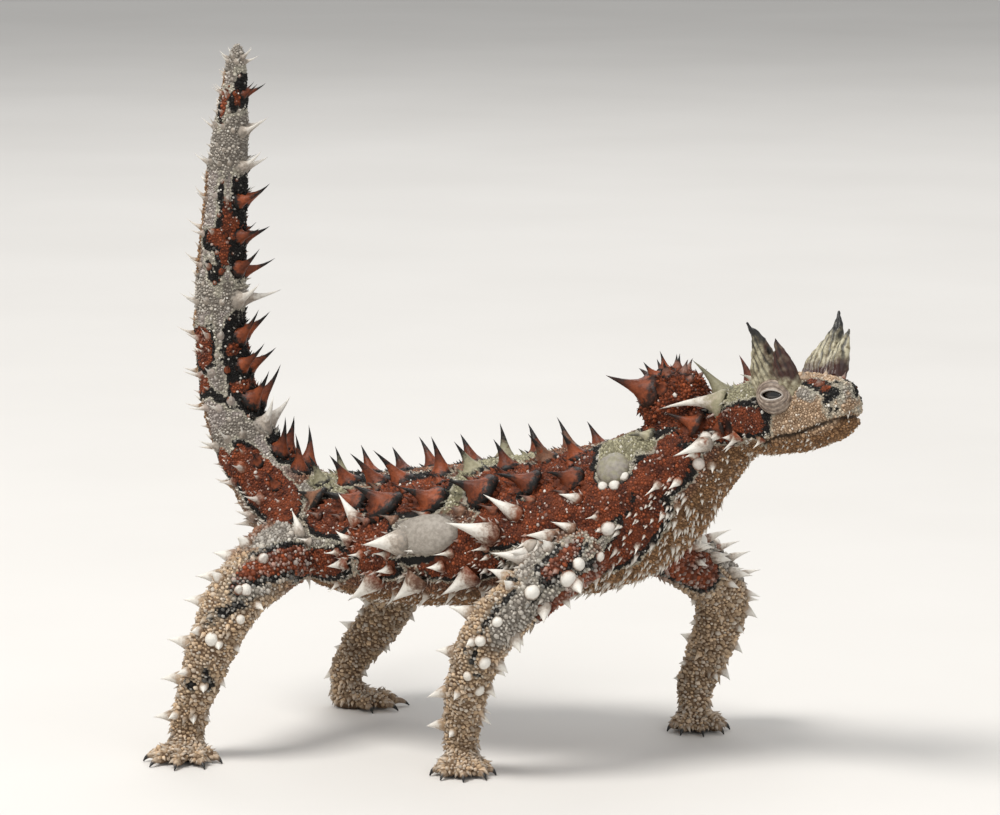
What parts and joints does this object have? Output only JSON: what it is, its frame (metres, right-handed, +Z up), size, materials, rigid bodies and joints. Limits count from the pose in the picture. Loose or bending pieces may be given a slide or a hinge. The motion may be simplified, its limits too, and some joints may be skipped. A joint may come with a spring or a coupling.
{
  "type": "thorny devil lizard model",
  "caption": "Life-size still model of a thorny devil, a small spiny desert lizard, in mid stride on four legs with its tail raised upright and its head turned.",
  "frame": {"origin": "on the floor, under the middle of the whole animal's box", "axes": "+X forward along the trunk, +Y to the animal's left, +Z up"},
  "size_m": [0.1124, 0.0654, 0.1055],
  "materials": {
    "back_skin": "matte",
    "limb_skin": "matte",
    "horn": "satin",
    "eye": "gloss"
  },
  "bodies": {
    "root": {"head": "limb_skin", "eye_right": "eye", "eye_left": "eye", "horn_right": "horn", "horn_left": "horn", "neck": "limb_skin", "neck_knob": "back_skin", "torso": "back_skin", "tail_base": "back_skin", "tail_middle": "back_skin", "tail_tip": "back_skin", "hind_right_upper_leg": "limb_skin", "hind_right_lower_leg": "limb_skin", "hind_right_foot": "limb_skin", "hind_left_upper_leg": "limb_skin", "hind_left_lower_leg": "limb_skin", "hind_left_foot": "limb_skin", "fore_right_upper_leg": "limb_skin", "fore_right_lower_leg": "limb_skin", "fore_right_foot": "limb_skin", "fore_left_upper_leg": "limb_skin", "fore_left_lower_leg": "limb_skin", "fore_left_foot": "limb_skin"}
  },
  "joints": []
}
